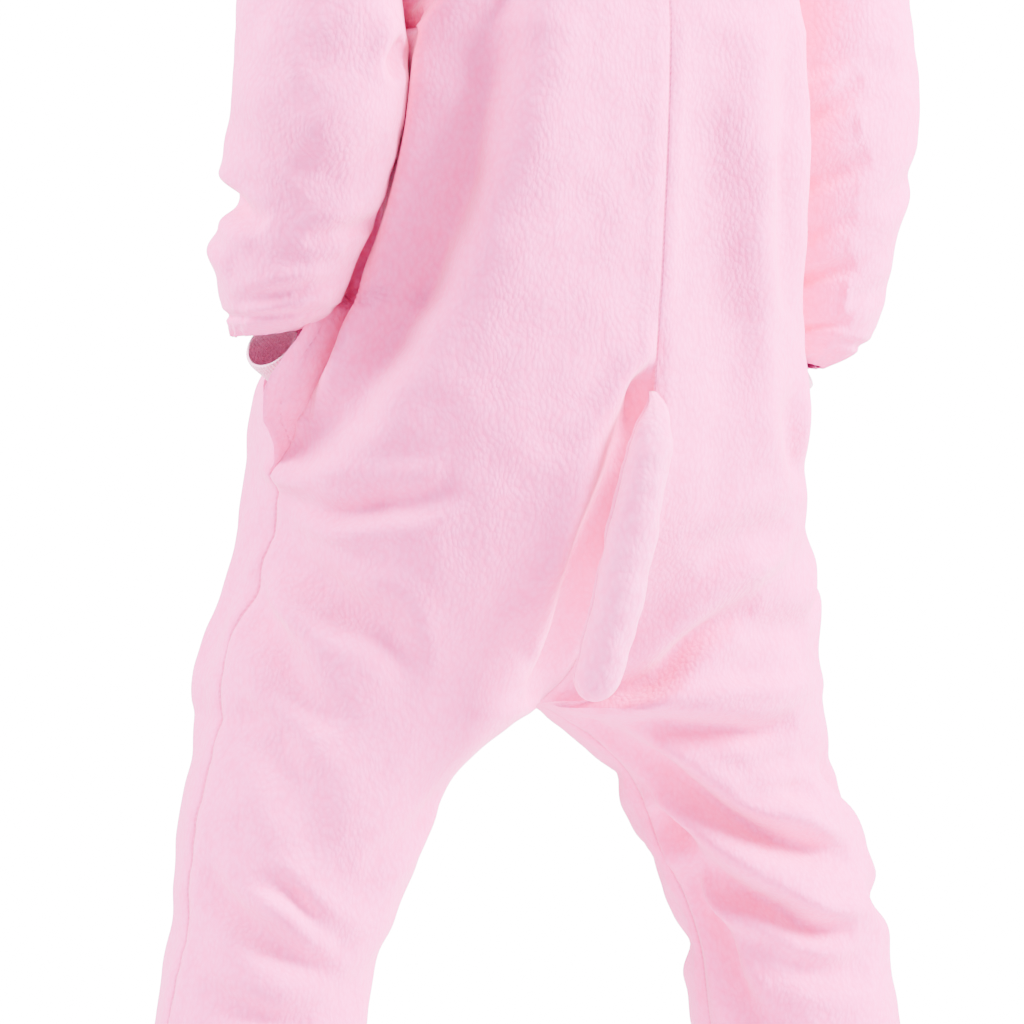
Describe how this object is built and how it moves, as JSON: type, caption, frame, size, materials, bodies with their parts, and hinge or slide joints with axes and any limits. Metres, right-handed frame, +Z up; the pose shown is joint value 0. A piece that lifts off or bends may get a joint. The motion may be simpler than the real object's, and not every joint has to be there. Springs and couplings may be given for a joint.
{
  "type": "kigurumi onesie",
  "caption": "Loose hooded plush one-piece suit with stuffed tail, ribbed cuffs and buttoned front, in hollow worn form with both wrists in the side pockets.",
  "frame": {"origin": "the base of the neck on the shoulder line, where the wearer holds the suit up", "axes": "+Z up, the wearer faces -Y, the wearer's left hand is towards +X"},
  "size_m": [0.7591, 0.4023, 1.7095],
  "materials": {
    "plush": "short plush pile",
    "rib_knit": "rib knit",
    "tail_plush": "short plush pile, stuffed",
    "button": "satin"
  },
  "bodies": {
    "root": {"back_left": "plush", "back_right": "plush", "front_left": "plush", "front_right": "plush", "sleeve_left": "plush", "sleeve_right": "plush", "hood_left": "plush", "hood_right": "plush", "pocket_facing_left": "plush", "pocket_facing_right": "plush", "cuff_left": "rib_knit", "cuff_right": "rib_knit", "ankle_cuff_left": "rib_knit", "ankle_cuff_right": "rib_knit", "tail": "tail_plush", "placket": "plush", "button_1": "button", "button_2": "button", "button_3": "button", "button_4": "button", "button_5": "button", "button_6": "button", "button_7": "button"}
  },
  "joints": []
}
